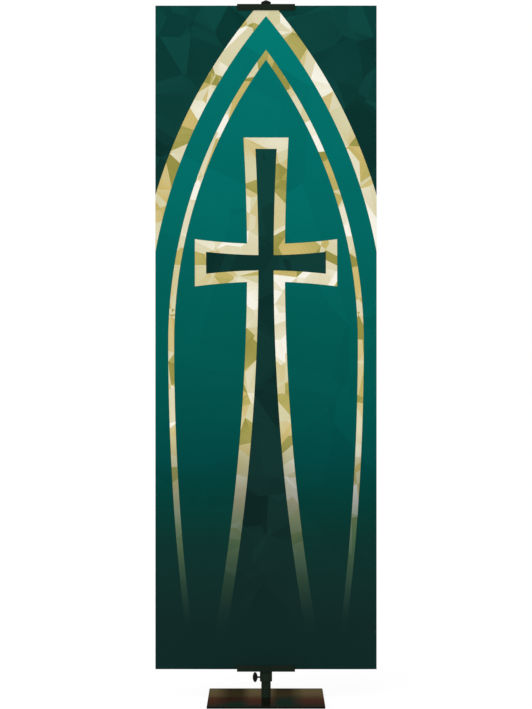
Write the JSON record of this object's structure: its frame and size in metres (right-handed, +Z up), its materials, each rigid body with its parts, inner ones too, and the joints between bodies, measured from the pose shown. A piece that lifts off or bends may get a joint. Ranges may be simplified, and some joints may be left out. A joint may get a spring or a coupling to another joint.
{
  "type": "church banner and banner stand",
  "caption": "Tall flat hemmed cloth banner held between short clamp bars on a round pole, with a low pointed cap, a clamping sleeve with a thumb screw and a square floor plate.",
  "frame": {"origin": "centre of the floor plate's underside, on the pole's axis", "axes": "+Z up along the pole, -Y out of the cloth's front, X across the cloth"},
  "size_m": [0.6096, 0.32, 1.9335],
  "materials": {
    "banner_fabric": "smooth dyed polyester, teal at the top fading to green black, with gold bands",
    "powder_coat": "satin green-black powder coat",
    "cap_plastic": "moulded black plastic",
    "plate_lacquer": "dark bronze-brown lacquer, darker towards the front",
    "screw_metal": "blackened steel"
  },
  "bodies": {
    "stand": {"banner_cloth": "banner_fabric", "top_clamp_bar": "powder_coat", "foot_clamp_bar": "powder_coat", "top_collar": "powder_coat", "clamp_sleeve": "powder_coat", "pole": "powder_coat", "pole_cap": "cap_plastic", "base_plate": "plate_lacquer"},
    "clamp_screw": {"thumb_screw": "screw_metal"}
  },
  "joints": [
    {"name": "screw_turn", "type": "hinge", "parent": "stand", "child": "clamp_screw", "pos_m": [-0.03, 0, 0.0617], "axis": [-1, 0, 0], "continuous": true}
  ]
}
